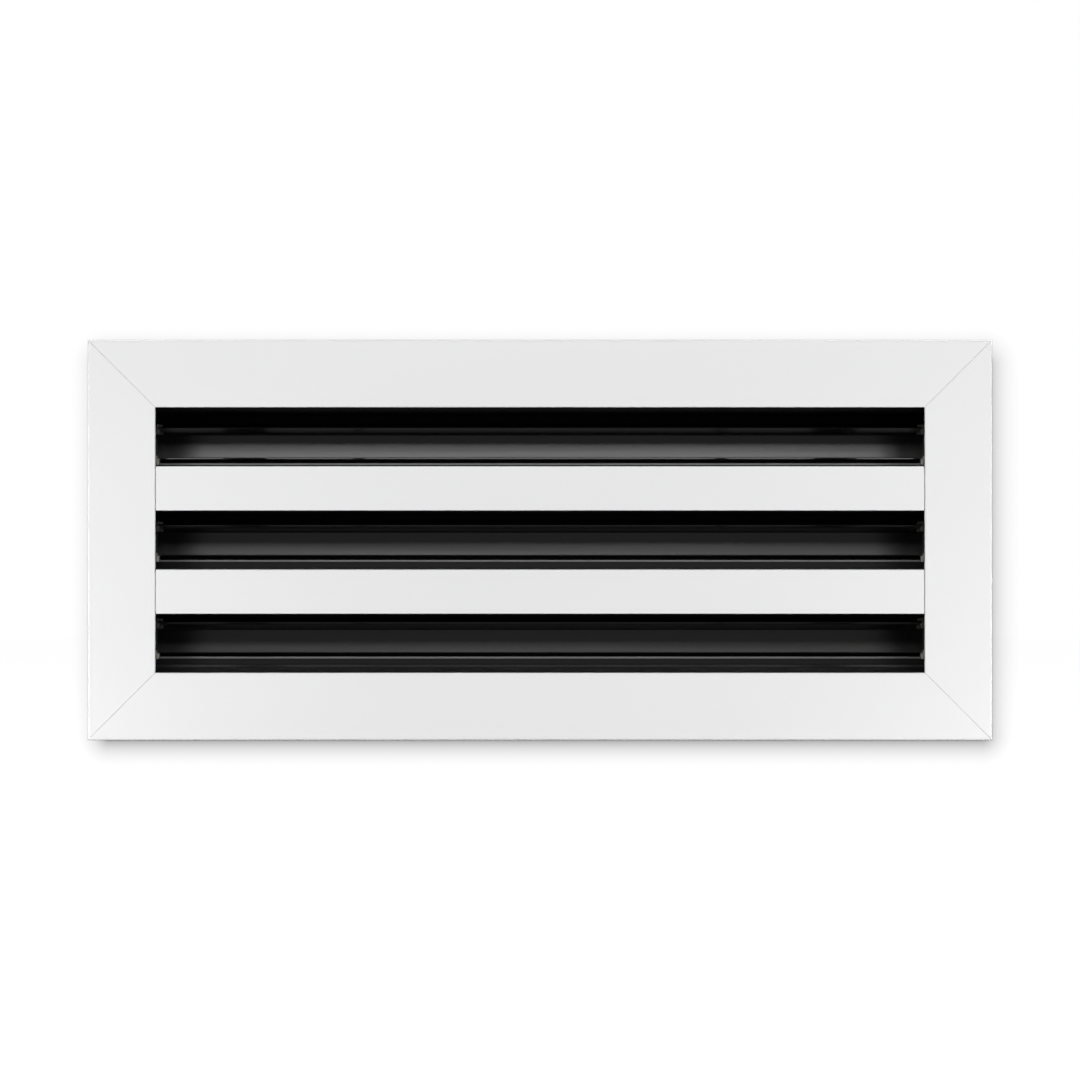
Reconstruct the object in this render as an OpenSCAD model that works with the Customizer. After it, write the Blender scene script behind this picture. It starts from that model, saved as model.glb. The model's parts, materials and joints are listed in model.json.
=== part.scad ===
// Linear slot diffuser: a flanged air grille with three slots and two adjustable vanes in each slot.
// X runs along the slots, Z is up and the face looks towards -Y. The wall surface is the plane y = 0.

/* [Opening] */
// Height of each air slot
slot_h = 25.4; // [25:0.1:32]
// Face width of each bar between the slots
bar_h = 19.05; // [16:0.05:30]
// Length of the slots on the face
opening_w = 331.2; // [300:0.1:1200]

/* [Border] */
// Width of the border's face
flange_w = 29; // [27:0.5:40]
// Thickness of the face
face_t = 1.6; // [1.2:0.1:2]
// Thickness of the walls behind the face
wall_t = 1.5; // [1.2:0.1:2]
// How far the face stands off the wall surface
stand_off = 5; // [5:0.1:6]
// Depth of the walls, from the face
wall_depth = 56; // [56:0.5:70]
// Radius of the face's edges at the slots
slot_edge_r = 0.5; // [0.2:0.1:0.8]
// Radius of the border's outer edge
outer_edge_r = 1; // [0.4:0.1:1.4]

/* [Vanes] */
// Thickness of the vane blades
blade_t = 1.1; // [0.8:0.05:1.2]
// Depth of the lower vane's front, from the face
lower_vane_depth = 35.3; // [35:0.1:35.4]
// Height of the lower vane's blade
lower_vane_h = 11; // [9:0.1:11.2]
// Slope of the upper vane, open
upper_vane_slope = 11.5; // [11:0.5:14]
// Radius of the pivot stubs on the vanes' caps
stub_r = 1; // [0.8:0.05:1.2]
// Radial clearance of the stubs in the end plates
stub_clearance = 0.05; // [0.02:0.01:0.1]

/* [Fixings] */
// Distance between the two mounting holes
mount_spacing = 280; // [200:1:290]
// Radius of each mounting hole
mount_hole_r = 2.75; // [2.2:0.05:3.2]
// Distance between the two tie rods
rod_spacing = 170; // [100:1:240]

/* [Hidden] */
$fn = 48;
eps = 0.01;

// The slots, counted from the top
slots = 3;
pitch = slot_h + bar_h;
opening_h = slots * slot_h + (slots - 1) * bar_h;
function slot_top(n) = opening_h / 2 - (n - 1) * pitch;

// Joints in the face: the mitres and the ends of the bars
mitre_gap = 0.06;
bar_gap = 0.35;
cope_depth = 1.8;

// The ends of the slots: plates behind the end flanges, each seated against a rib on the flange
plate_out = 10.4;
plate_x = opening_w / 2 + plate_out;
plate_t = 1.5;
plate_front = face_t + 0.1;
plate_back = 54;
plate_half_h = opening_h / 2 + 8;
seat_play = 0.15;
vane_half_len = plate_x - 1;

// Ribs on the slot walls: [depth from the face, thickness, height]
roof_lip = [38, 1.3, 3.85];
roof_rib = [42, 1.2, 6.05];
sill_lip = [38, 1.3, 3.5];
sill_rib = [44, 1.2, 6];
bead_depth = 21;
bead_r = 0.4;

// Screw ports in the extrusions
port_depths = [14, 38];
port_r = 3;
port_bore_r = 1.25;
port_out = wall_t + 2.1;
screw_r = 1.2;
screw_head_r = 2.6;
screw_head_h = 1.2;
screw_len = 12;

// The channel behind the flange that holds the corner keys
key_w = 6.8;
key_t = 2;
key_play = 0.2;
key_leg = 32;
hook = 1;
key_out = flange_w - face_t - key_play - key_w;
channel_depth = face_t + key_t + 2 * key_play;
channel_end = stand_off + 0.2;
grub_r = 2;
grub_len = 3;

// Vane sections, placed by [depth from the face, drop from the slot's top]
upper_pivot = [36.9, 6.4];
upper_front_len = 1.9;
upper_back_len = 9.3;
nose_t = 0.45;
tail_h = 1.6;
lower_pivot = [36.4, 20.7];
lower_vane_top = 8.9;

// The caps on the vanes' ends: a disc with a stub, and a lug that grips the blade
upper_disc_r = 2.4;
lower_disc_r = 2.1;
disc_t = 0.8;
stub_end = 0.8;
lug_len = 1.6;
lug_t = 1.1;
lug_w = 2.5;

// The foam strip behind the flange
gasket_out = 14;
gasket_w = 4.5;
gasket_gap = 0.2;

// The tie rods and what is on them
rod_depth = 52;
rod_r = 2;
tube_r = 2.9;
rod_hole_r = 2.15;
rod_washer_r = 4.5;
rod_washer_t = 0.8;
nut_h = 3.2;
nut_across = 7;
rod_end = 1.4;
thread_play = 0.04;

// The mounting bars across the back
bar_w = 20;
bar_t = 2;
tab_depth = 12;
bar_screw_depth = 51.6;
bar_screw_head = [3.6, 2.1];

white = [0.93, 0.93, 0.92];
black = [0.05, 0.05, 0.05];
mill = [0.78, 0.79, 0.8];
zinc = [0.7, 0.72, 0.74];
nylon = [0.9, 0.89, 0.84];
foam = [0.15, 0.15, 0.16];

// Extrudes a section along X. The section's first axis is the depth and its second axis is the height.
module along_x(length) {
    translate([0, -stand_off, 0])
        rotate([90, 0, 90])
            linear_extrude(length, center = true)
                children();
}

// Draws a child at both ends of the object, mirrored.
module both_ends() {
    children();
    mirror([1, 0, 0]) children();
}

// What a rounded corner leaves over of a square corner at the origin.
module corner_waste(r) {
    difference() {
        translate([-1, -1]) square(r + 1);
        translate([r, r]) circle(r);
    }
}

// A rib that reaches from a slot's wall into the slot.
module rib(place) {
    translate([place[0], -place[2] + place[1] / 2]) square([place[1], place[2] + wall_t / 2]);
    translate([place[0] + place[1] / 2, -place[2] + place[1] / 2]) circle(place[1] / 2);
}

// Ribs of a wall that is the roof of a slot
module roof_ribs() {
    rib(roof_lip);
    rib(roof_rib);
    translate([bead_depth, bead_r / 4]) circle(bead_r);
}

// Ribs of a wall that is the sill of a slot
module sill_ribs() {
    rib(sill_lip);
    rib(sill_rib);
    translate([bead_depth, bead_r / 4]) circle(bead_r);
}

// The border's face, its outer return and the channel for the corner keys.
module flange_section() {
    square([face_t, flange_w]);
    translate([0, flange_w - face_t]) square([stand_off, face_t]);
    translate([channel_depth, flange_w - face_t - hook]) square([stand_off - channel_depth, hook + eps]);
    translate([0, key_out - key_play - wall_t]) square([stand_off, wall_t]);
    translate([channel_depth, key_out - key_play - eps]) square([stand_off - channel_depth, hook]);
}

// Section of a border member: its flange, and what the children add behind it.
module border_section() {
    difference() {
        union() {
            flange_section();
            children();
        }
        corner_waste(slot_edge_r);
        translate([0, flange_w]) mirror([0, 1]) corner_waste(outer_edge_r);
    }
}

// A screw port on the outside of a border member's wall
module wall_port(depth) {
    difference() {
        translate([depth, port_out]) circle(port_r);
        translate([depth - port_r, -eps]) square([2 * port_r, wall_t / 2]);
    }
}

// The mitred zone of a border member, which takes in its flange and its key channel.
module mitred_zone(half_opening) {
    translate([0, -stand_off - 1, 0])
        rotate([90, 0, 0])
            mirror([0, 0, 1])
                linear_extrude(channel_end + 1)
                    polygon([
                        [-half_opening + mitre_gap, 0],
                        [half_opening - mitre_gap, 0],
                        [half_opening + flange_w - mitre_gap, flange_w],
                        [-half_opening - flange_w + mitre_gap, flange_w]
                    ]);
}

// The square-cut zone of a long member: its wall, from just behind the end members' flanges.
module square_zone() {
    translate([-plate_x, cope_depth - stand_off, -slot_h / 2])
        cube([2 * plate_x, wall_depth, wall_t + slot_h / 2]);
    translate([-plate_x, channel_end - stand_off, 0])
        cube([2 * plate_x, wall_depth, flange_w]);
}

// A long member of the border, drawn as the top one with the opening's edge at z = 0.
module long_member() {
    difference() {
        intersection() {
            along_x(opening_w + 2 * flange_w)
                difference() {
                    border_section() {
                        square([wall_depth, wall_t]);
                        children();
                        for (depth = port_depths) wall_port(depth);
                    }
                    for (depth = port_depths) translate([depth, port_out]) circle(port_bore_r);
                }
            union() {
                mitred_zone(opening_w / 2);
                square_zone();
            }
        }
        for (side = [-1, 1]) {
            translate([side * rod_spacing / 2, rod_depth - stand_off, -wall_t])
                cylinder(r = rod_hole_r, h = 3 * wall_t);
            translate([side * mount_spacing / 2, bar_screw_depth - stand_off, -wall_t])
                cylinder(r = rod_r + thread_play, h = 3 * wall_t);
        }
    }
}

// An end member of the border, drawn as the top one with the opening's edge at z = 0.
module end_member() {
    seat = plate_out + plate_t + seat_play;
    intersection() {
        along_x(opening_h + 2 * flange_w)
            border_section()
                translate([0, seat]) square([stand_off, wall_t]);
        mitred_zone(opening_h / 2);
    }
}

module frame_top() {
    color(white) translate([0, 0, opening_h / 2]) long_member() roof_ribs();
}

module frame_bottom() {
    color(white) mirror([0, 0, 1]) translate([0, 0, opening_h / 2]) long_member() sill_ribs();
}

module frame_left() {
    color(white) rotate([0, -90, 0]) translate([0, 0, opening_w / 2]) end_member();
}

module frame_right() {
    color(white) rotate([0, 90, 0]) translate([0, 0, opening_w / 2]) end_member();
}

// Section of a bar between two slots: a deep channel with two webs, each with a screw port.
module mullion_section() {
    difference() {
        union() {
            translate([0, -bar_h / 2]) square([face_t, bar_h]);
            for (side = [-1, 1])
                translate([0, side * (bar_h - wall_t) / 2 - wall_t / 2]) square([wall_depth, wall_t]);
            for (depth = port_depths) {
                translate([depth - wall_t / 2, -bar_h / 2]) square([wall_t, bar_h]);
                translate([depth, 0]) circle(port_r);
            }
            translate([0, bar_h / 2]) mirror([0, 1]) sill_ribs();
            translate([0, -bar_h / 2]) roof_ribs();
        }
        for (depth = port_depths) translate([depth, 0]) circle(port_bore_r);
        translate([0, -bar_h / 2]) corner_waste(slot_edge_r);
        translate([0, bar_h / 2]) mirror([0, 1]) corner_waste(slot_edge_r);
    }
}

// A bar between two slots, with the one below slot n drawn in its place.
module mullion(n) {
    color(white)
        translate([0, 0, slot_top(n) - slot_h - bar_h / 2])
            difference() {
                along_x(2 * plate_x) mullion_section();
                both_ends()
                    translate([opening_w / 2 - bar_gap, -stand_off - 1, -bar_h])
                        cube([plate_x, cope_depth + 1, 2 * bar_h]);
                for (side = [-1, 1])
                    translate([side * rod_spacing / 2, rod_depth - stand_off, -bar_h])
                        cylinder(r = rod_hole_r, h = 2 * bar_h);
            }
}

module mullion_upper() { mullion(1); }

module mullion_lower() { mullion(2); }

// Draws a child at the place of every end-plate screw: the depth and height of each port.
module at_ports() {
    for (depth = port_depths) {
        for (side = [-1, 1])
            translate([0, depth - stand_off, side * (opening_h / 2 + port_out)]) children();
        for (n = [1 : slots - 1])
            translate([0, depth - stand_off, slot_top(n) - slot_h - bar_h / 2]) children();
    }
}

// Draws a child on the axis of a pivot in slot n.
module at_pivot(n, pivot) {
    translate([0, pivot[0] - stand_off, slot_top(n) - pivot[1]]) children();
}

// A countersunk head's cone, with its flat top at the origin and pointing along -X.
module countersink() {
    rotate([0, -90, 0]) cylinder(r1 = screw_head_r, r2 = screw_r, h = screw_head_h);
}

// The black plate across the ends of all the slots, drawn as the right one.
module end_plate() {
    color(black)
        difference() {
            translate([plate_x, plate_front - stand_off, -plate_half_h])
                cube([plate_t, plate_back - plate_front, 2 * plate_half_h]);
            at_ports() {
                translate([plate_x - 1, 0, 0])
                    rotate([0, 90, 0])
                        cylinder(r = screw_r + 0.1, h = plate_t + 2);
                translate([plate_x + plate_t, 0, 0]) countersink();
            }
            for (n = [1 : slots])
                for (pivot = [upper_pivot, lower_pivot])
                    at_pivot(n, pivot)
                        translate([plate_x - 1, 0, 0])
                            rotate([0, 90, 0])
                                cylinder(r = stub_r + stub_clearance, h = plate_t + 2);
        }
}

module end_plate_right() { end_plate(); }

module end_plate_left() { mirror([1, 0, 0]) end_plate(); }

// Section of the upper vane: a sloping blade with a thinned nose and a turned-down tail.
module upper_vane_section() {
    translate([upper_pivot[0], -upper_pivot[1]])
        rotate(-upper_vane_slope) {
            polygon([
                [-upper_front_len, 0],
                [-upper_front_len, nose_t],
                [0, blade_t],
                [upper_back_len, blade_t],
                [upper_back_len, 0]
            ]);
            translate([upper_back_len - blade_t, blade_t / 2 - tail_h])
                square([blade_t, tail_h]);
            translate([upper_back_len - blade_t / 2, blade_t / 2 - tail_h])
                circle(blade_t / 2);
        }
}

// Section of the lower vane: an upright blade with rounded edges.
module lower_vane_section() {
    translate([lower_vane_depth, -lower_vane_top - lower_vane_h + blade_t / 2])
        square([blade_t, lower_vane_h - blade_t]);
    for (drop = [lower_vane_top + blade_t / 2, lower_vane_top + lower_vane_h - blade_t / 2])
        translate([lower_vane_depth + blade_t / 2, -drop]) circle(blade_t / 2);
}

// A vane in slot n, from its section.
module vane(n) {
    color(black) translate([0, 0, slot_top(n)]) along_x(2 * vane_half_len) children();
}

module upper_vane_slot_1() { vane(1) upper_vane_section(); }

module upper_vane_slot_2() { vane(2) upper_vane_section(); }

module upper_vane_slot_3() { vane(3) upper_vane_section(); }

module lower_vane_slot_1() { vane(1) lower_vane_section(); }

module lower_vane_slot_2() { vane(2) lower_vane_section(); }

module lower_vane_slot_3() { vane(3) lower_vane_section(); }

// A pair of caps on a vane's ends: discs with stubs that turn in the end plates. The child is one lug.
module caps(n, pivot, disc_r) {
    color(nylon)
        both_ends()
            at_pivot(n, pivot) {
                translate([vane_half_len, 0, 0])
                    rotate([0, 90, 0]) {
                        cylinder(r = disc_r, h = disc_t);
                        cylinder(r = stub_r, h = plate_x + plate_t + stub_end - vane_half_len);
                    }
                translate([vane_half_len - lug_len, 0, 0]) children();
            }
}

// Caps of the upper vane in slot n, whose lugs lie on top of the blade
module upper_caps(n) {
    caps(n, upper_pivot, upper_disc_r)
        rotate([-upper_vane_slope, 0, 0])
            translate([0, 0, blade_t])
                cube([lug_len + eps, upper_disc_r * 0.8, lug_t]);
}

// Caps of the lower vane in slot n, whose lugs lie behind the blade
module lower_caps(n) {
    back = lower_vane_depth + blade_t - lower_pivot[0];
    bottom = lower_pivot[1] - lower_vane_top - lower_vane_h + blade_t / 2;
    caps(n, lower_pivot, lower_disc_r)
        translate([0, back, bottom])
            cube([lug_len + eps, lug_t, lug_w]);
}

module upper_caps_slot_1() { upper_caps(1); }

module upper_caps_slot_2() { upper_caps(2); }

module upper_caps_slot_3() { upper_caps(3); }

module lower_caps_slot_1() { lower_caps(1); }

module lower_caps_slot_2() { lower_caps(2); }

module lower_caps_slot_3() { lower_caps(3); }

// Countersunk screws through the end plates into the ports
module end_plate_screws() {
    color(zinc)
        both_ends()
            at_ports()
                translate([plate_x + plate_t, 0, 0]) {
                    countersink();
                    rotate([0, -90, 0]) cylinder(r = screw_r, h = screw_len);
                }
}

// Places a child at each corner, drawn for the top right one with the key's outer corner at the origin.
module at_corners() {
    key_edge = flange_w - face_t - key_play;
    for (flip_x = [0, 1])
        for (flip_z = [0, 1])
            mirror([flip_x, 0, 0])
                mirror([0, 0, flip_z])
                    translate([opening_w / 2 + key_edge, face_t + key_play - stand_off, opening_h / 2 + key_edge])
                        children();
}

// Places a child at the two grub screws of a corner key.
module at_grubs() {
    for (place = [[-key_leg * 0.7, -key_w / 2], [-key_w / 2, -key_leg * 0.7]])
        translate([place[0], 0, place[1]])
            rotate([-90, 0, 0])
                children();
}

// Right-angled keys that join the mitred members inside their channels
module corner_keys() {
    color(mill)
        at_corners()
            difference() {
                union() {
                    translate([-key_leg, 0, -key_w]) cube([key_leg, key_t, key_w]);
                    translate([-key_w, 0, -key_leg]) cube([key_w, key_t, key_leg]);
                }
                at_grubs() translate([0, 0, -1]) cylinder(r = grub_r, h = key_t + 2);
            }
}

// Grub screws that press each key against its channel
module corner_key_screws() {
    color(zinc)
        at_corners()
            at_grubs()
                translate([0, 0, -key_play])
                    difference() {
                        cylinder(r = grub_r, h = grub_len);
                        translate([0, 0, grub_len / 2]) cylinder(r = 1, h = grub_len, $fn = 6);
                    }
}

// Foam strips behind the border's face, which seal it to the wall
module gasket_strips() {
    long_len = opening_w + 2 * (gasket_out + gasket_w);
    short_len = opening_h + 2 * gasket_out - 2 * gasket_gap;
    color(foam)
        translate([0, face_t - stand_off, 0]) {
            for (side = [-1, 1]) {
                translate([-long_len / 2, 0, side * (opening_h / 2 + gasket_out + gasket_w / 2) - gasket_w / 2])
                    cube([long_len, stand_off - face_t, gasket_w]);
                translate([side * (opening_w / 2 + gasket_out + gasket_w / 2) - gasket_w / 2, 0, -short_len / 2])
                    cube([gasket_w, stand_off - face_t, short_len]);
            }
        }
}

// Draws a child at both tie rods.
module at_rods() {
    for (side = [-1, 1])
        translate([side * rod_spacing / 2, rod_depth - stand_off, 0])
            children();
}

// Threaded rods across the slots, behind the vanes
module tie_rods() {
    half_len = opening_h / 2 + wall_t + rod_washer_t + nut_h + rod_end;
    color(zinc) at_rods() translate([0, 0, -half_len]) cylinder(r = rod_r, h = 2 * half_len);
}

// A tube on a tie rod, from z up
module spacer_tube(z, length) {
    translate([0, 0, z])
        difference() {
            cylinder(r = tube_r, h = length);
            translate([0, 0, -1]) cylinder(r = rod_hole_r, h = length + 2);
        }
}

// Tubes on the tie rods, which keep the slots and the bars at their widths
module spacer_tubes() {
    color(mill)
        at_rods() {
            for (n = [1 : slots]) spacer_tube(slot_top(n) - slot_h, slot_h);
            for (n = [1 : slots - 1]) spacer_tube(slot_top(n) - slot_h - bar_h + wall_t, bar_h - 2 * wall_t);
        }
}

// Draws a child at both ends of both tie rods, standing on the outside of the border's wall.
module at_rod_ends() {
    at_rods()
        for (flip = [0, 1])
            mirror([0, 0, flip])
                translate([0, 0, opening_h / 2 + wall_t])
                    children();
}

module tie_rod_washers() {
    color(zinc)
        at_rod_ends()
            difference() {
                cylinder(r = rod_washer_r, h = rod_washer_t);
                translate([0, 0, -1]) cylinder(r = rod_hole_r, h = rod_washer_t + 2);
            }
}

module tie_rod_nuts() {
    color(zinc)
        at_rod_ends()
            translate([0, 0, rod_washer_t])
                difference() {
                    cylinder(r = nut_across / sqrt(3), h = nut_h, $fn = 6);
                    translate([0, 0, -1]) cylinder(r = rod_r + thread_play, h = nut_h + 2);
                }
}

// Bars across the back, with tabs on the border's walls and a hole for each mounting screw
module mounting_bars() {
    outside = opening_h / 2 + wall_t;
    back = wall_depth - stand_off;
    color(zinc)
        for (side = [-1, 1])
            translate([side * mount_spacing / 2, 0, 0])
                difference() {
                    translate([-bar_w / 2, back - tab_depth, -outside - bar_t])
                        cube([bar_w, tab_depth + bar_t, 2 * (outside + bar_t)]);
                    translate([-bar_w, back - tab_depth - 1, -outside])
                        cube([2 * bar_w, tab_depth + 1, 2 * outside]);
                    translate([0, back - 1, 0])
                        rotate([-90, 0, 0])
                            cylinder(r = mount_hole_r, h = bar_t + 2);
                    translate([0, bar_screw_depth - stand_off, -outside - bar_t - 1])
                        cylinder(r = rod_hole_r, h = 2 * (outside + bar_t + 1));
                }
}

// Pan-head screws that hold the mounting bars' tabs to the border's walls
module mounting_bar_screws() {
    color(zinc)
        for (side = [-1, 1])
            for (flip = [0, 1])
                mirror([0, 0, flip])
                    translate([side * mount_spacing / 2, bar_screw_depth - stand_off, opening_h / 2]) {
                        cylinder(r = rod_r, h = wall_t + bar_t + thread_play + eps);
                        translate([0, 0, wall_t + bar_t + thread_play])
                            cylinder(r = bar_screw_head[0], h = bar_screw_head[1]);
                    }
}

frame_top();
frame_bottom();
frame_left();
frame_right();
mullion_upper();
mullion_lower();
end_plate_left();
end_plate_right();
upper_vane_slot_1();
upper_vane_slot_2();
upper_vane_slot_3();
lower_vane_slot_1();
lower_vane_slot_2();
lower_vane_slot_3();
upper_caps_slot_1();
upper_caps_slot_2();
upper_caps_slot_3();
lower_caps_slot_1();
lower_caps_slot_2();
lower_caps_slot_3();
corner_keys();
corner_key_screws();
end_plate_screws();
gasket_strips();
tie_rods();
spacer_tubes();
tie_rod_washers();
tie_rod_nuts();
mounting_bars();
mounting_bar_screws();
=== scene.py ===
"""Visual model of a three-slot linear slot diffuser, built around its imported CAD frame."""

import json
import logging
import math
from collections.abc import Iterable, Mapping
from dataclasses import dataclass
from enum import Enum
from typing import Any

import bmesh
import bpy
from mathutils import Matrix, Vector

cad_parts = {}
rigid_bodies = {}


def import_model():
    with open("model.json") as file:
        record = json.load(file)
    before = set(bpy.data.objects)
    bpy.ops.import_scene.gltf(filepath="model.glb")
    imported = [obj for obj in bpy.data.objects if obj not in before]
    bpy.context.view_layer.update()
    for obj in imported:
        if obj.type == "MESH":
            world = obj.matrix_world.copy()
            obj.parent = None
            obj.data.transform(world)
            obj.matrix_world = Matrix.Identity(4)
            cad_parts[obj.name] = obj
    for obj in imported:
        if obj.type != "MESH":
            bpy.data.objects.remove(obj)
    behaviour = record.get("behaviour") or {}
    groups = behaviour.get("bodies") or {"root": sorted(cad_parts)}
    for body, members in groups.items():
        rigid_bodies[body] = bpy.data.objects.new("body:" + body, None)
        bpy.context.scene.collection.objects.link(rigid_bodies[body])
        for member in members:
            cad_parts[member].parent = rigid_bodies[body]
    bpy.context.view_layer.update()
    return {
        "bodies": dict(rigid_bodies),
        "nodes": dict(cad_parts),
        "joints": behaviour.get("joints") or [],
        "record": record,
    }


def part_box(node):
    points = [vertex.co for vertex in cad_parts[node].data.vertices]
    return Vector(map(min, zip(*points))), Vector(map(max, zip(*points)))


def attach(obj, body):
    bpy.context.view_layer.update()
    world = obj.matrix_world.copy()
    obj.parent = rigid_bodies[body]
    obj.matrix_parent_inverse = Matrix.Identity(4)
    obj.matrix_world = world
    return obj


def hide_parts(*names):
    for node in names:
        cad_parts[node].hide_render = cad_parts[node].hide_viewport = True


log = logging.getLogger("slot_diffuser")

Colour = tuple[float, float, float, float]

MM = 0.001

# Corners closer than the first are joined, and edges shorter than the second are taken out.
WELD_MM = 0.002
SLIVER_MM = 0.001

# Faces that meet at less than FLAT_ANGLE are joined, and edges above SHARP_ANGLE are rounded.
# Edges above CREASE_ANGLE are shaded as creases.
FLAT_ANGLE = math.radians(0.5)
SHARP_ANGLE = math.radians(28)
CREASE_ANGLE = math.radians(32)


class Slot(Enum):
    """The record's material slots."""

    POWDER_COAT = "powder_coat"
    BLACK_PAINT = "black_paint"
    ZINC_STEEL = "zinc_steel"
    MILL_ALUMINIUM = "mill_aluminium"
    NYLON = "nylon"
    FOAM = "foam"


class Axis(Enum):
    """The axes of the shared frame, by their number in a vector."""

    X = 0
    Y = 1
    Z = 2


# ---------------------------------------------------------------- shader maths


class Channel:
    """A number in a shader: a socket that adds Math nodes when it is used in an expression."""

    def __init__(self, shader: "Shader", socket: bpy.types.NodeSocket) -> None:
        """Wraps a socket.

        Args:
            shader: the shader that the socket belongs to.
            socket: the output socket.
        """
        self.shader = shader
        self.socket = socket

    def _math(
        self, operation: str, first: Any, second: Any = None, clamp: bool = False
    ) -> "Channel":
        """Adds a Math node.

        Args:
            operation: the node's operation.
            first: its first value or channel.
            second: its second value or channel, if it has one.
            clamp: whether the result is kept between 0 and 1.

        Returns:
            The node's result.
        """
        values = {0: first} if second is None else {0: first, 1: second}
        settings = {"operation": operation, "use_clamp": clamp}
        return self.shader.channel("ShaderNodeMath", settings, values)

    def __add__(self, other: Any) -> "Channel":
        """Returns self + other."""
        return self._math("ADD", self, other)

    __radd__ = __add__

    def __mul__(self, other: Any) -> "Channel":
        """Returns self * other."""
        return self._math("MULTIPLY", self, other)

    __rmul__ = __mul__

    def __sub__(self, other: Any) -> "Channel":
        """Returns self - other."""
        return self._math("SUBTRACT", self, other)

    def __rsub__(self, other: Any) -> "Channel":
        """Returns other - self."""
        return self._math("SUBTRACT", other, self)

    def __abs__(self) -> "Channel":
        """Returns the channel's size without its sign."""
        return self._math("ABSOLUTE", self)

    def at_least(self, other: Any) -> "Channel":
        """Returns the larger of the two."""
        return self._math("MAXIMUM", self, other)

    def at_most(self, other: Any) -> "Channel":
        """Returns the smaller of the two."""
        return self._math("MINIMUM", self, other)

    def root(self) -> "Channel":
        """Returns the channel's square root."""
        return self._math("SQRT", self)

    def exponent(self) -> "Channel":
        """Returns e to the power of the channel."""
        return self._math("EXPONENT", self)

    def modulo(self, other: float) -> "Channel":
        """Returns the remainder on division, between 0 and other."""
        return self._math("FLOORED_MODULO", self, other)

    def rise(self, start: float, end: float) -> "Channel":
        """Returns a mask that goes from 0 where the channel is start to 1 where it is end."""
        scale = 1 / (end - start)
        return self._math("MULTIPLY", self - start, scale, clamp=True)

    def between(self, low: float, high: float, fade: float) -> "Channel":
        """Returns a mask that is 1 from low to high and fades to 0 on both sides."""
        return self.rise(low - fade, low) * (1 - self.rise(high, high + fade))


class Shader:
    """The node tree of a material or of the surround, written as expressions."""

    def __init__(self, owner: bpy.types.ID) -> None:
        """Empties the owner's node tree.

        Args:
            owner: the material or the surround.
        """
        self.owner = owner
        self.owner.use_nodes = True
        self.tree = self.owner.node_tree
        self.tree.nodes.clear()

    @classmethod
    def named(cls, name: str) -> "Shader":
        """Returns the shader of a new material."""
        return cls(bpy.data.materials.new(name))

    def node(
        self,
        kind: str,
        settings: Mapping[str, Any] | None = None,
        values: Mapping[str | int, Any] | None = None,
    ) -> bpy.types.Node:
        """Adds a node.

        Args:
            kind: the node's type.
            settings: its properties, set first.
            values: numbers, colours, channels or sockets for its inputs, by name or number.

        Returns:
            The node.
        """
        node = self.tree.nodes.new(kind)
        for name, value in (settings or {}).items():
            setattr(node, name, value)
        for name, value in (values or {}).items():
            if isinstance(value, Channel):
                value = value.socket
            if isinstance(value, bpy.types.NodeSocket):
                self.tree.links.new(value, node.inputs[name])
            else:
                node.inputs[name].default_value = value
        return node

    def channel(
        self,
        kind: str,
        settings: Mapping[str, Any] | None,
        values: Mapping[str | int, Any],
    ) -> Channel:
        """Adds a node and returns its first output as a channel."""
        return Channel(self, self.node(kind, settings, values).outputs[0])

    def seen(self) -> Channel:
        """Returns 1 for what the camera sees directly and 0 in lighting and reflections."""
        return Channel(self, self.node("ShaderNodeLightPath").outputs["Is Camera Ray"])

    def place(self) -> bpy.types.NodeSocket:
        """Returns the position in the object's own frame."""
        return self.node("ShaderNodeTexCoord").outputs["Object"]

    def axis(self, axis: Axis) -> Channel:
        """Returns one component of the position in the object's own frame, in millimetres."""
        parts = self.node("ShaderNodeSeparateXYZ", None, {0: self.place()})
        return Channel(self, parts.outputs[axis.value]) * (1 / MM)

    def stretched(self, scale: tuple[float, float, float]) -> bpy.types.NodeSocket:
        """Returns the position, scaled along each axis."""
        return self.node("ShaderNodeMapping", None, {0: self.place(), "Scale": scale}).outputs[0]

    def noise(
        self,
        grain_mm: float,
        detail: float = 2,
        stretch: tuple[float, float, float] = (1, 1, 1),
    ) -> Channel:
        """Adds a noise pattern.

        Args:
            grain_mm: size of its largest grains.
            detail: how many finer layers it has.
            stretch: scale of the pattern along each axis.

        Returns:
            A channel around 0.5.
        """
        values = {"Vector": self.stretched(stretch), "Scale": 1 / (grain_mm * MM), "Detail": detail}
        return self.channel("ShaderNodeTexNoise", None, values)

    def mix(self, amount: Any, first: Any, second: Any) -> bpy.types.NodeSocket:
        """Returns a colour between two colours."""
        settings = {"data_type": "RGBA"}
        return self.node("ShaderNodeMix", settings, {0: amount, 6: first, 7: second}).outputs[2]

    def bump(self, height: Channel, depth_mm: float) -> bpy.types.NodeSocket:
        """Returns a normal that is bent by a height pattern whose full range is depth_mm."""
        values = {"Height": height, "Distance": depth_mm * MM, "Strength": 1.0}
        return self.node("ShaderNodeBump", None, values).outputs[0]

    def surface(self, **sockets: Any) -> bpy.types.Material:
        """Gives the material its surface.

        Args:
            **sockets: the surface's values by socket, with spaces written as underscores.

        Returns:
            The material.
        """
        values = {name.replace("_", " "): value for name, value in sockets.items()}
        shader = self.node("ShaderNodeBsdfPrincipled", None, values)
        self.node("ShaderNodeOutputMaterial", None, {"Surface": shader.outputs[0]})
        return self.owner


def grey(level: float) -> Colour:
    """Returns a neutral colour."""
    return (level, level, level, 1)


# ---------------------------------------------------------------- finishes


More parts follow.
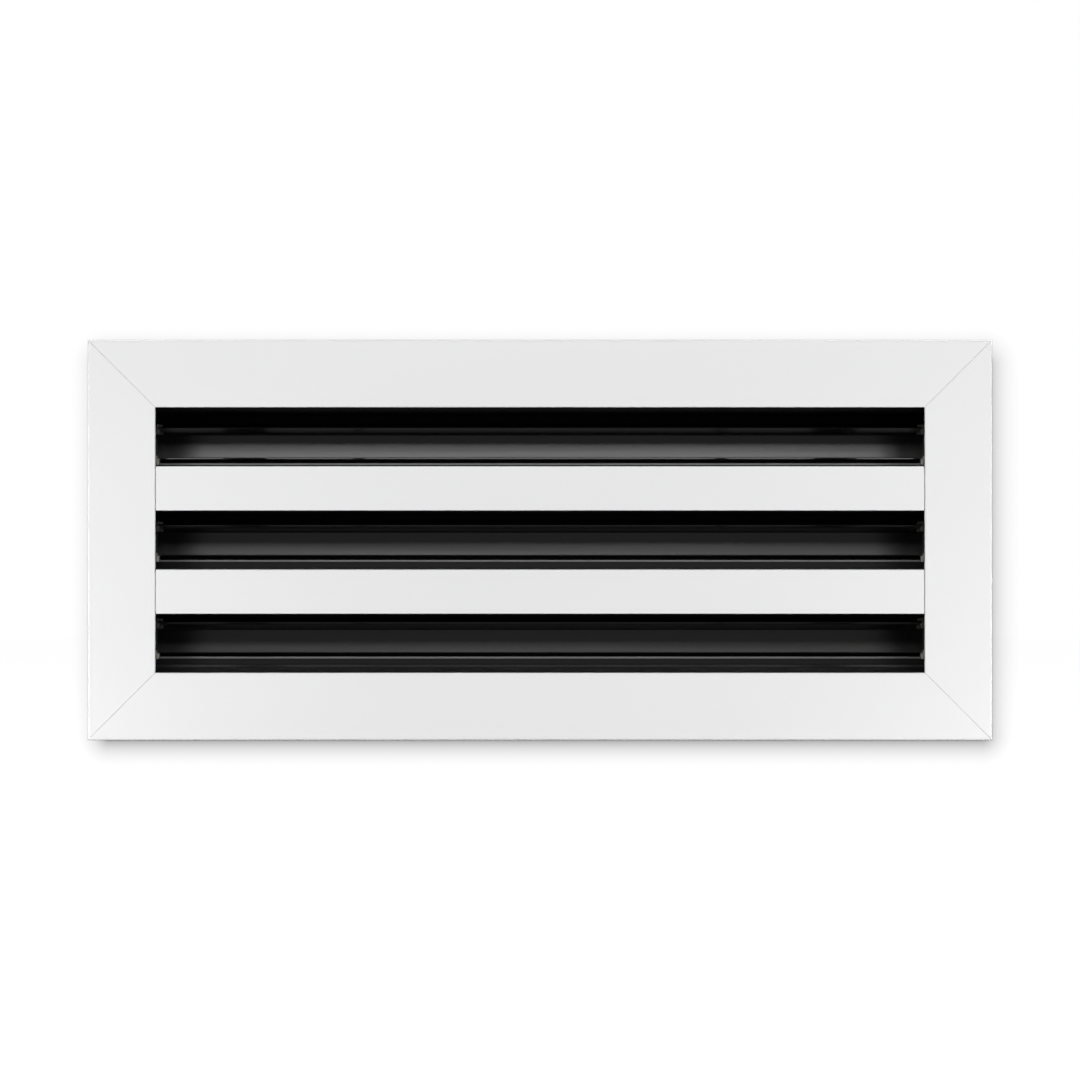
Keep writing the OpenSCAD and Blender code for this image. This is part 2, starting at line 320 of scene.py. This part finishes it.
@dataclass(frozen=True)
class SlotPaint:
    """Where the black paint inside the slots starts and ends, in millimetres.

    The painted highlight on each slot's lower lip tip is given by its heights above the paint's lower
    edge in that slot, and by its places along Y.
    """

    front: float
    half_height: float
    pitch: float
    half_length: float
    overspray: float = 0.25
    ragged: float = 0.5
    masked_edge: float = 0.1
    lip_height: tuple[float, float] = (3.65, 6.0)
    lip_depth: tuple[float, float] = (32.8, 34.5)

    def mask(self, shader: Shader) -> Channel:
        """Masks the slots' inner walls.

        Args:
            shader: the shader that uses the mask.

        Returns:
            1 on the walls and 0 elsewhere.
        """
        ragged = (shader.noise(1.6, 3) - 0.5) * self.ragged
        height = abs(shader.axis(Axis.Z))
        from_middle = height.at_most(abs(height - self.pitch))
        above = from_middle.rise(self.half_height, self.half_height + self.masked_edge)
        behind = (shader.axis(Axis.Y) + ragged).rise(self.front, self.front + self.overspray)
        length = abs(shader.axis(Axis.X))
        past_end = length.rise(self.half_length, self.half_length + self.masked_edge)
        return (1 - above) * behind * (1 - past_end)

    def lip_highlight_mask(self, shader: Shader) -> Channel:
        """Masks the tips of the lower lip in front of the vanes, which get a painted highlight.

        Args:
            shader: the shader that uses the mask.

        Returns:
            1 on the tips and 0 elsewhere.
        """
        lower_edge = self.pitch / 2 - self.half_height
        height = (shader.axis(Axis.Z) + self.pitch * 1.5).modulo(self.pitch) - lower_edge
        tip = height.between(*self.lip_height, fade=0.3)
        return tip * shader.axis(Axis.Y).between(*self.lip_depth, fade=0.2)


@dataclass(frozen=True)
class PowderCoat:
    """White satin powder coat with fine orange peel, black inside the slots, painted highlight on lip
    tips.
    """

    paint: SlotPaint
    white: Colour = (0.83, 0.83, 0.832, 1)
    black: Colour = (0.006, 0.006, 0.0063, 1)
    # Lighter grey painted on the lower lip tips as a highlight, where their rounded edge catches
    # light.
    lip_highlight_grey: Colour = (0.21, 0.21, 0.212, 1)
    shade: float = 0.955
    rough: float = 0.37
    rougher_black: float = 0.24
    peel_mm: float = 0.02

    def material(self) -> bpy.types.Material:
        """Builds the finish.

        Returns:
            The material.
        """
        shader = Shader.named("white_powder_coat")
        mask = self.paint.mask(shader)
        cloud = shader.noise(60, 2, (0.35, 1, 1))
        shaded = (*(self.shade * part for part in self.white[:3]), 1)
        tone = shader.mix(cloud.rise(0.1, 0.9), self.white, shaded)
        # The black inside the slots, with a painted highlight of lighter grey on the lower lip tips.
        paint = shader.mix(self.paint.lip_highlight_mask(shader), self.black, self.lip_highlight_grey)
        peel = (shader.noise(1.3, 2) * 0.7 + shader.noise(0.35, 1) * 0.3) * (1 - mask)
        return shader.surface(
            Base_Color=shader.mix(mask, tone, paint),
            Roughness=self.rough + (cloud - 0.5) * 0.1 + mask * self.rougher_black,
            Normal=shader.bump(peel, self.peel_mm),
            IOR=1.48,
            Specular_IOR_Level=0.3,
        )


@dataclass(frozen=True)
class BlackPaint:
    """Satin black paint over extruded aluminium, with faint lines along the extrusion."""

    colour: Colour = (0.02, 0.02, 0.0205, 1)
    scuff: Colour = (0.03, 0.03, 0.031, 1)
    rough: float = 0.31
    name: str = "black_vane_finish"
    ior: float = 3.0

    def material(self) -> bpy.types.Material:
        """Builds the finish.

        Returns:
            The material.
        """
        shader = Shader.named(self.name)
        streaks = shader.noise(3, 3, (0.02, 1, 1))
        specks = shader.noise(0.9, 3)
        return shader.surface(
            Base_Color=shader.mix(specks.rise(0.62, 0.75) * 0.5, self.colour, self.scuff),
            Roughness=self.rough + (streaks - 0.5) * 0.1 + (specks - 0.5) * 0.06,
            Normal=shader.bump(shader.noise(0.5, 2), 0.006),
            IOR=self.ior,
        )


@dataclass(frozen=True)
class ZincPlate:
    """Bright zinc plate on steel: cool grey with faint warm bloom and drawing lines.

    With a thread_mm above 0 it shows a thread of that pitch round Z instead of the lines.
    """

    cool: Colour = (0.6, 0.63, 0.66, 1)
    warm: Colour = (0.66, 0.64, 0.57, 1)
    rough: float = 0.24
    line_mm: float = 0.012
    thread_mm: float = 0

    def material(self) -> bpy.types.Material:
        """Builds the finish.

        Returns:
            The material.
        """
        shader = Shader.named("threaded_zinc" if self.thread_mm else "zinc_plate")
        bloom = shader.noise(9, 3)
        lines = shader.noise(0.8, 2, (1, 1, 0.06))
        height, depth = lines, self.line_mm
        if self.thread_mm:
            turn = (shader.axis(Axis.Z) * (1 / self.thread_mm)).modulo(1)
            height, depth = abs(turn - 0.5) * 2, 0.35 * self.thread_mm
        return shader.surface(
            Base_Color=shader.mix(bloom.rise(0.35, 0.7), self.cool, self.warm),
            Roughness=self.rough + bloom * 0.16 + (lines - 0.5) * 0.12,
            Metallic=1.0,
            Normal=shader.bump(height, depth),
        )


@dataclass(frozen=True)
class MillAluminium:
    """Bare extruded aluminium with die lines along X."""

    light: Colour = (0.78, 0.785, 0.79, 1)
    dull: Colour = (0.6, 0.61, 0.62, 1)
    rough: float = 0.34
    line_mm: float = 0.015

    def material(self) -> bpy.types.Material:
        """Builds the finish.

        Returns:
            The material.
        """
        shader = Shader.named("mill_aluminium")
        lines = shader.noise(0.6, 3, (0.04, 1, 1))
        blotches = shader.noise(6, 3)
        return shader.surface(
            Base_Color=shader.mix(blotches.rise(0.3, 0.75), self.light, self.dull),
            Roughness=self.rough + (blotches - 0.5) * 0.2 + (lines - 0.5) * 0.1,
            Metallic=1.0,
            Normal=shader.bump(lines, self.line_mm),
        )


@dataclass(frozen=True)
class Nylon:
    """Natural nylon with a soft sheen."""

    colour: Colour = (0.8, 0.78, 0.7, 1)
    shade: Colour = (0.7, 0.67, 0.58, 1)
    rough: float = 0.45

    def material(self) -> bpy.types.Material:
        """Builds the finish.

        Returns:
            The material.
        """
        shader = Shader.named("natural_nylon")
        mottle = shader.noise(1.2, 2)
        return shader.surface(
            Base_Color=shader.mix(mottle.rise(0.35, 0.7), self.colour, self.shade),
            Roughness=self.rough + (mottle - 0.5) * 0.1,
            Normal=shader.bump(mottle, 0.02),
        )


@dataclass(frozen=True)
class Foam:
    """Closed-cell foam: dark, dull, with open cells on its cut faces, their pits painted darker as
    shade.
    """

    rim: Colour = (0.055, 0.055, 0.06, 1)
    # Darker colour painted into the cells' pits as shade in the hollows.
    shaded_pit: Colour = (0.018, 0.018, 0.02, 1)
    cells_per_metre: float = 1100
    pit_mm: float = 0.25

    def material(self) -> bpy.types.Material:
        """Builds the finish.

        Returns:
            The material.
        """
        shader = Shader.named("closed_cell_foam")
        values = {"Vector": shader.place(), "Scale": self.cells_per_metre}
        cells = shader.channel("ShaderNodeTexVoronoi", {"feature": "F1"}, values)
        walls = cells.rise(0.15, 0.6)
        return shader.surface(
            # The pits between the cell walls get the painted shade.
            Base_Color=shader.mix(walls, self.shaded_pit, self.rim),
            Roughness=0.9,
            Normal=shader.bump(walls, self.pit_mm),
        )


# ---------------------------------------------------------------- mesh work


@dataclass(frozen=True)
class Drive:
    """A driver's recess in a screw's head, with lobes of radius_mm and waists between them."""

    axis: Axis
    radius_mm: float
    depth_mm: float
    lobes: int
    waist: float
    lobe_limit: float = 0.3
    taper: float = 0.7
    rim_mm: float = 0.05
    head_corners: int = 12

    def fits(self, face: bmesh.types.BMFace) -> bool:
        """Tells a screw's head from other faces.

        Args:
            face: the face.

        Returns:
            Whether it is round, large enough, square to the axis and looks away from the object's
            middle, or to the back if the axis is Y.
        """
        along = face.normal[self.axis.value]
        outward = along > 0
        if self.axis is not Axis.Y:
            outward = along * face.calc_center_median()[self.axis.value] > 0
        return (
            outward
            and len(face.verts) >= self.head_corners
            and abs(along) > 0.99
            and face.calc_area() > math.pi * (self.radius_mm * MM) ** 2
        )

    def shape(self, face: bmesh.types.BMFace, centre: Vector, scale: float) -> None:
        """Moves a round face's corners onto the recess's outline.

        Args:
            face: the face.
            centre: where its middle goes.
            scale: the size of this level of the recess, against its mouth.
        """
        first, second = (axis.value for axis in Axis if axis is not self.axis)
        middle = face.calc_center_median()
        for vert in face.verts:
            offset = vert.co - middle
            angle = math.atan2(offset[second], offset[first])
            lobe = math.cos(self.lobes * angle) > self.lobe_limit
            reach = self.radius_mm * MM * scale * (1 if lobe else self.waist)
            vert.co = centre.copy()
            vert.co[first] += reach * math.cos(angle)
            vert.co[second] += reach * math.sin(angle)


class Workshop:
    """Makes pieces, dresses them in a finish and puts them on their body."""

    def __init__(self, frame: Mapping[str, Any]) -> None:
        """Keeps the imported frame.
        """
        self.nodes = frame["nodes"]
        bodies = frame["record"]["behaviour"]["bodies"]
        self.body_of = {node: body for body, nodes in bodies.items() for node in nodes}

    def stock(self, node: str) -> bmesh.types.BMesh:
        """Copies a CAD node's mesh and joins its triangles into whole faces.

        Args:
            node: the CAD node's name.

        Returns:
            The copy.
        """
        mesh = bmesh.new()
        mesh.from_mesh(self.nodes[node].data)
        bmesh.ops.remove_doubles(mesh, verts=mesh.verts, dist=WELD_MM * MM)
        bmesh.ops.dissolve_degenerate(mesh, edges=mesh.edges, dist=SLIVER_MM * MM)
        bmesh.ops.dissolve_limit(
            mesh,
            angle_limit=FLAT_ANGLE,
            verts=mesh.verts,
            edges=mesh.edges,
            use_dissolve_boundaries=False,
        )
        return mesh

    @staticmethod
    def break_edges(mesh: bmesh.types.BMesh, width_mm: float, segments: int = 2) -> None:
        """Rounds a mesh's sharp edges.

        Args:
            mesh: the mesh.
            width_mm: how far the rounding reaches from each edge.
            segments: how many faces the rounding has.
        """
        bmesh.ops.bevel(
            mesh,
            geom=[edge for edge in mesh.edges if edge.calc_face_angle(0) > SHARP_ANGLE],
            offset=width_mm * MM,
            offset_type="OFFSET",
            segments=segments,
            profile=0.5,
            affect="EDGES",
            clamp_overlap=True,
            material=-1,
            miter_outer="ARC",
        )

    @staticmethod
    def cut_drives(mesh: bmesh.types.BMesh, drive: Drive) -> None:
        """Sinks a driver's recess into the head of every screw in a mesh.

        Args:
            mesh: the screws' mesh.
            drive: the recess and the direction the heads face.
        """
        heads = [face for face in mesh.faces if drive.fits(face)]
        for head in heads:
            centre = head.calc_center_median()
            inward = head.normal * -drive.depth_mm * MM
            bmesh.ops.inset_individual(mesh, faces=[head], thickness=drive.rim_mm * MM)
            drive.shape(head, centre, 1.0)
            floor = bmesh.ops.extrude_discrete_faces(mesh, faces=[head])["faces"][0]
            drive.shape(floor, centre + inward, drive.taper)
        log.info("%d drives cut", len(heads))

    def finish_piece(
        self,
        name: str,
        mesh: bmesh.types.BMesh,
        material: bpy.types.Material,
        slot: Slot,
        node: str,
    ) -> None:
        """Turns a mesh into the piece that stands for a CAD node.

        Args:
            name: the piece's name.
            mesh: its mesh, in place, which is used up.
            material: its material.
            slot: the record's slot for its finish; not used.
            node: the CAD node it stands for.
        """
        for face in mesh.faces:
            face.smooth = True
        for edge in mesh.edges:
            edge.smooth = edge.calc_face_angle(0) < CREASE_ANGLE
        data = bpy.data.meshes.new(name)
        mesh.to_mesh(data)
        mesh.free()
        data.materials.append(material)
        piece = bpy.data.objects.new(name, data)
        bpy.context.scene.collection.objects.link(piece)
        weighted = piece.modifiers.new("face_weighted_normals", "WEIGHTED_NORMAL")
        weighted.keep_sharp = True
        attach(piece, self.body_of[node])
        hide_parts(node)
        log.info("%s: %d faces on %s", name, len(data.polygons), self.body_of[node])


@dataclass
class Border:
    """The four mitred members of the border."""

    shop: Workshop
    coat: bpy.types.Material
    members: tuple[str, ...] = ("frame_top", "frame_bottom", "frame_left", "frame_right")
    edge_mm: float = 0.12

    def build(self) -> None:
        """Builds each member with its cut edges broken."""
        for node in self.members:
            mesh = self.shop.stock(node)
            self.shop.break_edges(mesh, self.edge_mm)
            name = node.replace("frame", "border")
            self.shop.finish_piece(name, mesh, self.coat, Slot.POWDER_COAT, node)


@dataclass
class Bars:
    """The two bars between the slots."""

    shop: Workshop
    coat: bpy.types.Material
    edge_mm: float = 0.1

    def build(self) -> None:
        """Builds both bars."""
        for side in ("upper", "lower"):
            node = f"mullion_{side}"
            mesh = self.shop.stock(node)
            self.shop.break_edges(mesh, self.edge_mm)
            self.shop.finish_piece(f"{side}_bar", mesh, self.coat, Slot.POWDER_COAT, node)


@dataclass
class EndPlates:
    """The black plates across the slots' ends and their screws."""

    shop: Workshop
    paint: bpy.types.Material
    zinc: bpy.types.Material
    edge_mm: float = 0.12
    screw_edge_mm: float = 0.08
    drive: Drive = Drive(axis=Axis.X, radius_mm=1.35, depth_mm=0.9, lobes=4, waist=0.42)

    def build(self) -> None:
        """Builds both plates and their screws."""
        for side in ("left", "right"):
            node = f"end_plate_{side}"
            mesh = self.shop.stock(node)
            self.shop.break_edges(mesh, self.edge_mm)
            self.shop.finish_piece(f"slot_{node}", mesh, self.paint, Slot.BLACK_PAINT, node)
        node = "end_plate_screws"
        mesh = self.shop.stock(node)
        self.shop.break_edges(mesh, self.screw_edge_mm)
        self.shop.cut_drives(mesh, self.drive)
        self.shop.finish_piece("countersunk_screws", mesh, self.zinc, Slot.ZINC_STEEL, node)


@dataclass
class Vanes:
    """The hinged vanes and the nylon caps they turn on."""

    shop: Workshop
    paint: bpy.types.Material
    nylon: bpy.types.Material
    slots: int = 3
    edge_mm: float = 0.1
    cap_edge_mm: float = 0.18

    def build(self) -> None:
        """Builds every vane with its pair of caps."""
        for number in range(1, self.slots + 1):
            for level in ("upper", "lower"):
                blade = f"{level}_blade_{number}"
                caps = f"{level}_blade_caps_{number}"
                self.add_vane(f"{level}_vane_slot_{number}", blade)
                self.add_caps(f"{level}_caps_slot_{number}", caps)

    def add_vane(self, node: str, name: str) -> None:
        """Builds one vane with its edges broken.

        Args:
            node: the CAD node.
            name: the piece's name.
        """
        mesh = self.shop.stock(node)
        self.shop.break_edges(mesh, self.edge_mm)
        self.shop.finish_piece(name, mesh, self.paint, Slot.BLACK_PAINT, node)

    def add_caps(self, node: str, name: str) -> None:
        """Builds the pair of caps of one vane with their edges broken.

        Args:
            node: the CAD node.
            name: the piece's name.
        """
        mesh = self.shop.stock(node)
        self.shop.break_edges(mesh, self.cap_edge_mm)
        self.shop.finish_piece(name, mesh, self.nylon, Slot.NYLON, node)


@dataclass(frozen=True)
class Fitting:
    """How the piece for one CAD node behind the face is made."""

    node: str
    name: str
    edge_mm: float
    segments: int = 2
    drive: Drive | None = None


@dataclass
class BackFittings:
    """What is fixed behind the face: corner keys, foam, tie rods and mounting bars."""

    shop: Workshop
    zinc: bpy.types.Material
    thread: bpy.types.Material
    aluminium: bpy.types.Material
    foam: bpy.types.Material
    fittings: tuple[Fitting, ...] = (
        Fitting("corner_keys", "mitre_keys", 0.25),
        Fitting("mounting_bars", "cross_bars", 0.4, segments=3),
        Fitting("tie_rod_nuts", "rod_nuts", 0.25),
        Fitting("tie_rod_washers", "rod_washers", 0.12),
        Fitting("spacer_tubes", "rod_tubes", 0.12),
        Fitting("gasket_strips", "foam_strips", 0.7, segments=3),
        Fitting(
            "mounting_bar_screws",
            "cross_bar_screws",
            0.5,
            segments=4,
            drive=Drive(axis=Axis.Z, radius_mm=1.9, depth_mm=1.2, lobes=4, waist=0.42),
        ),
        Fitting("tie_rods", "threaded_rods", 0.3),
        Fitting(
            "corner_key_screws",
            "grub_screws",
            0.12,
            segments=1,
            drive=Drive(axis=Axis.Y, radius_mm=0.8, depth_mm=1.2, lobes=6, waist=0.88),
        ),
    )

    def finish_for(self, node: str) -> tuple[bpy.types.Material, Slot]:
        """Chooses a fitting's finish.

        Args:
            node: the fitting's CAD node.

        Returns:
            Its material and slot.
        """
        if node == "gasket_strips":
            return self.foam, Slot.FOAM
        if node in ("corner_keys", "spacer_tubes"):
            return self.aluminium, Slot.MILL_ALUMINIUM
        if node == "tie_rods":
            return self.thread, Slot.ZINC_STEEL
        return self.zinc, Slot.ZINC_STEEL

    def build(self) -> None:
        """Builds every fitting with its edges broken."""
        for fitting in self.fittings:
            mesh = self.shop.stock(fitting.node)
            self.shop.break_edges(mesh, fitting.edge_mm, fitting.segments)
            if fitting.drive:
                self.shop.cut_drives(mesh, fitting.drive)
            material, slot = self.finish_for(fitting.node)
            self.shop.finish_piece(fitting.name, mesh, material, slot, fitting.node)


# ---------------------------------------------------------------- studio


@dataclass(frozen=True)
class Lamp:
    """A soft rectangular lamp that stands on each side, turned in to the middle or straight ahead."""

    name: str
    place: tuple[float, float, float]
    size: tuple[float, float]
    watts: float
    turned_in: bool = True
    in_reflections: bool = True

    def add(self, side: int) -> None:
        """Adds the lamp of one side.

        Args:
            side: 1 for the side where X is positive and -1 for the other.
        """
        across, along, up = self.place
        data = bpy.data.lights.new(self.name, "AREA")
        data.shape = "RECTANGLE"
        data.size, data.size_y = self.size
        data.energy = self.watts
        lamp = bpy.data.objects.new(self.name, data)
        lamp.location = (side * across, along, up)
        aim = Vector((-side * across if self.turned_in else 0, -along, -up))
        lamp.rotation_euler = aim.to_track_quat("-Z", "Y").to_euler()
        lamp.visible_glossy = self.in_reflections
        bpy.context.scene.collection.objects.link(lamp)


@dataclass
class PaintedShadowRing:
    """A painted soft shadow, as the border would throw on a wall, on a thin ring behind its edge.

    The shadow is a rounded rectangle, moved by shift_mm from the border. It is densest inset_mm
    inside its edge, thins out over spread_mm and ends where less than cut is left of it. The
    contact shadow is a darker line of painted shadow along the border itself.
    """

    outline: tuple[float, float]
    scale: float
    depth: float = 0.0004
    reach: tuple[float, float] = (-0.004, 0.016)
    shift_mm: tuple[float, float] = (2.3, -4.5)
    round_mm: float = 7
    inset_mm: float = 4.5
    spread_mm: float = 5.5
    density: float = 0.66
    cut: float = 0.05
    contact_shadow: float = 0.12
    contact_shadow_mm: tuple[float, float] = (0.1, 0.5)
    densest: float = 0.8

    def ring(self) -> bmesh.types.BMesh:
        """Builds the flat ring, from behind the border's edge outwards.

        Returns:
            The ring's mesh.
        """
        mesh = bmesh.new()
        rings = []
        for reach in self.reach:
            x, z = (half + reach for half in self.outline)
            corners = ((-x, -z), (x, -z), (x, z), (-x, z))
            rings.append([mesh.verts.new((a, self.depth, b)) for a, b in corners])
        inner, outer = rings
        for number in range(4):
            after = (number + 1) % 4
            mesh.faces.new((inner[number], outer[number], outer[after], inner[after]))
        return mesh

    def material(self) -> bpy.types.Material:
        """Builds the painted shadow, which only the camera sees, and only from the front.

        Returns:
            The material.
        """
        shader = Shader.named("studio_painted_shadow_ring")
        half_x, half_z = (half / MM for half in self.outline)
        shift_x, shift_z = self.shift_mm
        x = shader.axis(Axis.X) * self.scale
        z = shader.axis(Axis.Z) * self.scale
        # The painted soft shadow: densest inside a rounded rectangle moved from the border, fading
        # outside it.
        past_x = (abs(x - shift_x) - (half_x - self.round_mm)).at_least(0)
        past_z = (abs(z - shift_z) - (half_z - self.round_mm)).at_least(0)
        beyond = (past_x * past_x + past_z * past_z).root() - self.round_mm
        fall = ((beyond + self.inset_mm) * (-1 / self.spread_mm)).exponent()
        soft = (fall * self.density - self.cut).at_least(0)
        # A darker line of painted shadow right along the border's edge.
        edge = (abs(x) - half_x).at_least(abs(z) - half_z)
        line = (1 - edge.rise(*self.contact_shadow_mm)) * self.contact_shadow
        front = 1 - Channel(shader, shader.node("ShaderNodeNewGeometry").outputs["Backfacing"])
        return shader.surface(
            Base_Color=grey(0),
            Roughness=1.0,
            Specular_IOR_Level=0.0,
            Alpha=(soft + line).at_most(self.densest) * front * shader.seen(),
        )


@dataclass
class Studio:
    """A pale floor, soft light, the painted shadow round the border and the camera.

    sky is the surround's strength as a light, but in front of the object it is only ahead, and level
    with the object only dim. The fades give the directions between which these zones fade out. The
    floor's tone and glow each have a value for the light on the object and one for the camera.
    """

    face: float
    outline: tuple[float, float]
    view_distance: float = 0.56
    lens: float = 43.4
    sky: float = 0.6
    ahead: float = 0.2
    dim: float = 0.055
    level_fade: tuple[float, float] = (0.3, 0.6)
    side_fade: tuple[float, float] = (0.6, 0.85)
    front_fade: tuple[float, float] = (0.1, 0.4)
    floor_z: float = -0.32
    floor_radius: float = 4
    floor_tone: tuple[float, float] = (0.02, 0.06)
    floor_glow: tuple[float, float] = (0.014, 0.95)
    lamps: tuple[Lamp, ...] = (
        Lamp("key", (0.5, -1.977, 0.964), (0.7, 0.34), watts=16, turned_in=False),
        Lamp("fill", (0.6, -0.185, -0.28), (0.16, 0.16), watts=3.5, in_reflections=False),
        Lamp("rear", (1.2, 1.3, 1.45), (1.2, 1.2), watts=28),
    )

    def build(self) -> None:
        """Builds the whole studio."""
        self.add_camera()
        self.add_world()
        self.add_floor()
        # The ring that carries the painted shadow behind the border's edge.
        painted_shadow_ring = PaintedShadowRing(self.outline, self.view_distance / (self.view_distance - self.face))
        self.add_stage("painted_shadow_ring", painted_shadow_ring.ring(), painted_shadow_ring.material())
        for side in (-1, 1):
            for lamp in self.lamps:
                lamp.add(side)
        bpy.context.scene.view_settings.view_transform = "Standard"

    def add_camera(self) -> None:
        """Adds the camera, square to the face."""
        data = bpy.data.cameras.new("camera")
        data.lens = self.lens
        data.sensor_width = 36
        data.clip_start = 0.01
        camera = bpy.data.objects.new("camera", data)
        camera.location = (0, self.face - self.view_distance, 0)
        camera.rotation_euler = (math.radians(90), 0, 0)
        bpy.context.scene.collection.objects.link(camera)
        bpy.context.scene.camera = camera

    def add_world(self) -> None:
        """Adds the surround, which the camera sees as plain white."""
        world = bpy.data.worlds.new("surround")
        bpy.context.scene.world = world
        shader = Shader(world)
        direction = shader.node("ShaderNodeTexCoord").outputs["Generated"]
        parts = shader.node("ShaderNodeSeparateXYZ", None, {0: direction})
        across, along, up = (Channel(shader, part) for part in parts.outputs)
        level = 1 - abs(up).rise(*self.level_fade)
        central = 1 - abs(across).rise(*self.side_fade)
        front = (along * -1).rise(*self.front_fade)
        open_sky = self.sky - front * central * (self.sky - self.ahead)
        strength = open_sky * (1 - level * central) + level * central * self.dim
        values = {"Color": grey(1), "Strength": strength}
        light = shader.node("ShaderNodeBackground", None, values)
        white = shader.node("ShaderNodeBackground", None, {"Color": grey(1)})
        values = {0: shader.seen(), 1: light.outputs[0], 2: white.outputs[0]}
        mix = shader.node("ShaderNodeMixShader", None, values)
        shader.node("ShaderNodeOutputWorld", None, {"Surface": mix.outputs[0]})

    def add_stage(
        self,
        name: str,
        mesh: bmesh.types.BMesh,
        material: bpy.types.Material,
    ) -> None:
        """Adds a piece of the studio.

        Args:
            name: its name.
            mesh: its mesh, in place, which is used up.
            material: its material.
        """
        data = bpy.data.meshes.new(name)
        mesh.to_mesh(data)
        mesh.free()
        data.materials.append(material)
        thing = bpy.data.objects.new(name, data)
        bpy.context.scene.collection.objects.link(thing)

    def add_floor(self) -> None:
        """Adds a round white floor well below the object, which throws little light back at it."""
        mesh = bmesh.new()
        bmesh.ops.create_circle(mesh, cap_ends=True, segments=64, radius=self.floor_radius)
        bmesh.ops.translate(mesh, verts=mesh.verts, vec=(0, 0, self.floor_z))
        shader = Shader.named("studio_floor")
        seen = shader.seen()
        material = shader.surface(
            Base_Color=shader.mix(seen, *map(grey, self.floor_tone)),
            Roughness=0.7,
            Specular_IOR_Level=0.1,
            Emission_Color=shader.mix(seen, *map(grey, self.floor_glow)),
            Emission_Strength=1.0,
        )
        self.add_stage("floor", mesh, material)


# ---------------------------------------------------------------- the object


def slot_paint() -> SlotPaint:
    """Works out where the slots are painted black, from the frame.

    The tubes on the tie rods end at the lowest slot's sill and the highest slot's roof, and the
    paint goes a little deeper than these walls on every side but the face.

    Returns:
        The painted zone.
    """
    behind_face_mm, wall_mm, past_plate_mm = 0.45, 0.75, 0.3
    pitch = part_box("upper_vane_slot_1")[0][2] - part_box("upper_vane_slot_2")[0][2]
    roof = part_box("spacer_tubes")[1][2]
    return SlotPaint(
        front=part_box("frame_top")[0][1] / MM + behind_face_mm,
        half_height=(roof - pitch) / MM + wall_mm,
        pitch=pitch / MM,
        half_length=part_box("end_plate_right")[1][0] / MM + past_plate_mm,
    )


def main() -> None:
    """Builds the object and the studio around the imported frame."""
    logging.basicConfig(level=logging.INFO, format="%(name)s: %(message)s")
    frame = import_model()
    shop = Workshop(frame)
    coat = PowderCoat(slot_paint()).material()
    vane_paint = BlackPaint().material()
    plate_paint = BlackPaint(name="black_plate_paint", ior=1.5).material()
    zinc = ZincPlate().material()
    thread = ZincPlate(thread_mm=0.7).material()
    aluminium = MillAluminium().material()
    nylon = Nylon().material()
    foam = Foam().material()
    border_low, border_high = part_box("frame_top")
    Studio(face=border_low[1], outline=(border_high[0], border_high[2])).build()
    Border(shop, coat).build()
    Bars(shop, coat).build()
    EndPlates(shop, plate_paint, zinc).build()
    Vanes(shop, vane_paint, nylon).build()
    BackFittings(shop, zinc, thread, aluminium, foam).build()


if __name__ == "__main__":
    main()
